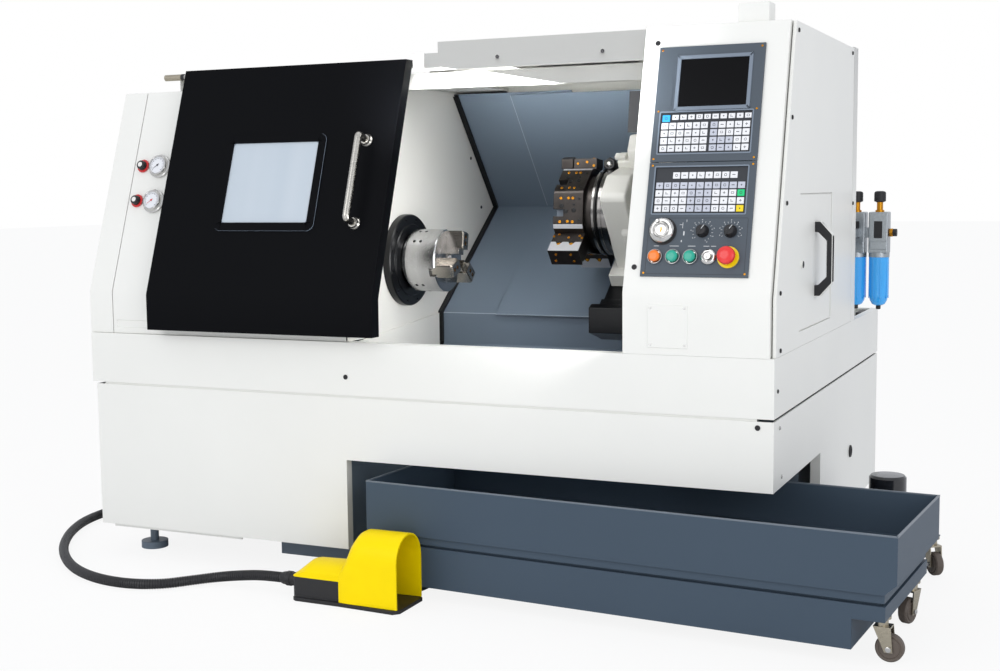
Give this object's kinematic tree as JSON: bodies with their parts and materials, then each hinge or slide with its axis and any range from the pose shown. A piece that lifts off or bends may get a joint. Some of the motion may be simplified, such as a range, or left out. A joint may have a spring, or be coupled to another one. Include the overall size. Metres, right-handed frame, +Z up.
{
  "type": "cnc turning lathe",
  "caption": "Slant-bed turning lathe with sliding door, three-jaw chuck, tool turret, control panel, pull-out chip tray and tank on casters, and a foot pedal on a conduit.",
  "frame": {"origin": "on the floor under the centre of the front left levelling foot", "axes": "+X along the spindle from the headstock to the turret, +Y to the rear, +Z up"},
  "size_m": [2.5721, 1.7086, 1.453],
  "materials": {
    "white_paint": "satin",
    "black_paint": "satin",
    "slate_paint": "satin",
    "cast_grey": "painted",
    "steel": "brushed",
    "dark_steel": "ground",
    "chrome": "polished",
    "black_rubber": "matte",
    "tyre": "matte",
    "black_plastic": "matte",
    "yellow_paint": "gloss",
    "window_glass": "clear",
    "screen_glass": "gloss",
    "key_plastic": "matte",
    "orange_plastic": "gloss",
    "green_plastic": "gloss",
    "red_plastic": "gloss",
    "gauge_white": "gloss",
    "smoky_blue": "clear"
  },
  "bodies": {
    "machine": {"base_cabinet": "white_paint", "base_frame": "slate_paint", "levelling_feet": "dark_steel", "coolant_band": "white_paint", "slant_bed": "cast_grey", "headstock": "cast_grey", "headstock_wall": "white_paint", "chip_guard": "slate_paint", "spindle_flange": "black_paint", "left_end_cover": "white_paint", "gauge_cover": "white_paint", "roof_cover": "white_paint", "operator_box": "white_paint", "right_side_cover": "white_paint", "control_plates": "slate_paint", "screen": "screen_glass", "keypads": "key_plastic", "pressure_gauges": "gauge_white", "air_unit": "steel", "spindle_motor": "dark_steel", "drive_belt": "black_rubber", "pedal_base": "black_plastic", "pedal_hood": "yellow_paint", "conduit": "black_rubber"},
    "door": {"door_panel": "black_paint", "door_window": "window_glass", "door_handle": "chrome"},
    "spindle": {"spindle_shaft": "steel", "chuck_body": "steel"},
    "carriage": {"saddle": "cast_grey", "way_cover": "slate_paint", "cross_cover": "black_paint"},
    "turret_slide": {"turret_housing": "white_paint"},
    "turret": {"turret_disc": "dark_steel", "tool_holders": "dark_steel"},
    "motor_shaft": {"motor_pulley": "dark_steel"},
    "side_door": {"access_door": "white_paint"},
    "treadle": {"pedal_treadle": "black_plastic"},
    "tank": {"coolant_tank": "slate_paint", "chip_tray": "slate_paint", "coolant_pump": "slate_paint"},
    "jaw_1": {"chuck_jaw_1": "steel"},
    "swivel_1": {"caster_fork_1": "steel"},
    "roller_1": {"caster_wheel_1": "tyre"},
    "jaw_2": {"chuck_jaw_2": "steel"},
    "swivel_2": {"caster_fork_2": "steel"},
    "roller_2": {"caster_wheel_2": "tyre"},
    "jaw_3": {"chuck_jaw_3": "steel"},
    "swivel_3": {"caster_fork_3": "steel"},
    "roller_3": {"caster_wheel_3": "tyre"},
    "handwheel_body": {"handwheel": "steel"},
    "feed_dial_body": {"feed_dial": "black_plastic"},
    "rapid_dial_body": {"rapid_dial": "black_plastic"},
    "orange_button_body": {"orange_button": "orange_plastic"},
    "green_button_left_body": {"green_button_left": "green_plastic"},
    "green_button_right_body": {"green_button_right": "green_plastic"},
    "key_switch_body": {"key_switch": "chrome"},
    "estop_button_body": {"estop_button": "red_plastic"},
    "gauge_knob_upper_body": {"gauge_knob_upper": "red_plastic"},
    "gauge_knob_lower_body": {"gauge_knob_lower": "black_plastic"}
  },
  "joints": [
    {"name": "door_slide", "type": "slide", "parent": "machine", "child": "door", "axis": [1, 0, 0], "range_m": [0, 0.64]},
    {"name": "spindle_turn", "type": "hinge", "parent": "machine", "child": "spindle", "pos_m": [0.762, 0.21, 0.831], "axis": [1, 0, 0], "continuous": true},
    {"name": "jaw_1_slide", "type": "slide", "parent": "spindle", "child": "jaw_1", "axis": [0, -0.1736, -0.9848], "range_m": [0, 0.0027]},
    {"name": "jaw_2_slide", "type": "slide", "parent": "spindle", "child": "jaw_2", "axis": [0, 0.9397, 0.342], "range_m": [0, 0.0027]},
    {"name": "jaw_3_slide", "type": "slide", "parent": "spindle", "child": "jaw_3", "axis": [0, -0.766, 0.6428], "range_m": [0, 0.0027]},
    {"name": "motor_turn", "type": "hinge", "parent": "machine", "child": "motor_shaft", "pos_m": [0.11, 0.25, 0.577], "axis": [1, 0, 0], "continuous": true},
    {"name": "saddle_slide", "type": "slide", "parent": "machine", "child": "carriage", "axis": [1, 0, 0], "range_m": [-0.165, 0.1]},
    {"name": "cross_slide", "type": "slide", "parent": "carriage", "child": "turret_slide", "axis": [0, 0.7998, 0.6003], "range_m": [-0.1, 0.08]},
    {"name": "turret_index", "type": "hinge", "parent": "turret_slide", "child": "turret", "pos_m": [1.112, 0.37968, 0.95858], "axis": [1, 0, 0], "continuous": true},
    {"name": "orange_button_press", "type": "slide", "parent": "machine", "child": "orange_button_body", "axis": [0, 0.9604, -0.2785], "range_m": [0, 0.004], "stiffness_N_per_m": 300, "springref_m": -0.002},
    {"name": "green_button_left_press", "type": "slide", "parent": "machine", "child": "green_button_left_body", "axis": [0, 0.9604, -0.2785], "range_m": [0, 0.004], "stiffness_N_per_m": 300, "springref_m": -0.002},
    {"name": "green_button_right_press", "type": "slide", "parent": "machine", "child": "green_button_right_body", "axis": [0, 0.9604, -0.2785], "range_m": [0, 0.004], "stiffness_N_per_m": 300, "springref_m": -0.002},
    {"name": "estop_press", "type": "slide", "parent": "machine", "child": "estop_button_body", "axis": [0, 0.9604, -0.2785], "range_m": [0, 0.004], "stiffness_N_per_m": 600, "springref_m": -0.002},
    {"name": "key_turn", "type": "hinge", "parent": "machine", "child": "key_switch_body", "pos_m": [1.681, -0.10057, 0.86295], "axis": [0, -0.9604, 0.2785], "range_deg": [-90, 0]},
    {"name": "handwheel_turn", "type": "hinge", "parent": "machine", "child": "handwheel_body", "pos_m": [1.567, -0.08358, 0.92154], "axis": [0, -0.9604, 0.2785], "continuous": true},
    {"name": "feed_turn", "type": "hinge", "parent": "machine", "child": "feed_dial_body", "pos_m": [1.662, -0.08358, 0.92154], "axis": [0, -0.9604, 0.2785], "range_deg": [-120, 150]},
    {"name": "rapid_turn", "type": "hinge", "parent": "machine", "child": "rapid_dial_body", "pos_m": [1.728, -0.08358, 0.92154], "axis": [0, -0.9604, 0.2785], "range_deg": [-30, 90]},
    {"name": "gauge_knob_upper_turn", "type": "hinge", "parent": "machine", "child": "gauge_knob_upper_body", "pos_m": [0.006, 0.00235, 1.09975], "axis": [0, -0.9468, 0.3219], "range_deg": [-170, 170]},
    {"name": "gauge_knob_lower_turn", "type": "hinge", "parent": "machine", "child": "gauge_knob_lower_body", "pos_m": [0.006, -0.0308, 1.00224], "axis": [0, -0.9468, 0.3219], "range_deg": [-170, 170]},
    {"name": "side_door_swing", "type": "hinge", "parent": "machine", "child": "side_door", "pos_m": [1.84, 0.527, 0.8385], "axis": [0, 0, 1], "range_deg": [0, 110]},
    {"name": "pedal_press", "type": "hinge", "parent": "machine", "child": "treadle", "pos_m": [0.793, -0.2555, 0.038], "axis": [0, 1, 0], "range_deg": [0, 12], "stiffness_Nm_per_rad": 8, "springref_deg": -8.59},
    {"name": "tank_roll", "type": "slide", "parent": "machine", "child": "tank", "axis": [0.9975, -0.071, 0], "range_m": [-0.06, 0.6]},
    {"name": "caster_1_swivel", "type": "hinge", "parent": "tank", "child": "swivel_1", "pos_m": [2.0988, -0.20497, 0.101], "axis": [0, 0, 1], "continuous": true},
    {"name": "caster_1_roll", "type": "hinge", "parent": "swivel_1", "child": "roller_1", "pos_m": [2.11675, -0.20625, 0.031], "axis": [0.071, 0.9975, 0], "continuous": true},
    {"name": "caster_2_swivel", "type": "hinge", "parent": "tank", "child": "swivel_2", "pos_m": [2.11938, 0.09833, 0.101], "axis": [0, 0, 1], "continuous": true},
    {"name": "caster_2_roll", "type": "hinge", "parent": "swivel_2", "child": "roller_2", "pos_m": [2.11379, 0.08122, 0.031], "axis": [0.9507, -0.3102, 0], "continuous": true},
    {"name": "caster_3_swivel", "type": "hinge", "parent": "tank", "child": "swivel_3", "pos_m": [2.11064, 0.53906, 0.101], "axis": [0, 0, 1], "continuous": true},
    {"name": "caster_3_roll", "type": "hinge", "parent": "swivel_3", "child": "roller_3", "pos_m": [2.1212, 0.52449, 0.031], "axis": [0.8097, 0.5868, 0], "continuous": true}
  ],
  "couplings": [
    {"joint": "jaw_2_slide", "follows": "jaw_1_slide", "ratio": 1},
    {"joint": "jaw_3_slide", "follows": "jaw_1_slide", "ratio": 1},
    {"joint": "motor_turn", "follows": "spindle_turn", "ratio": 1.5833}
  ]
}
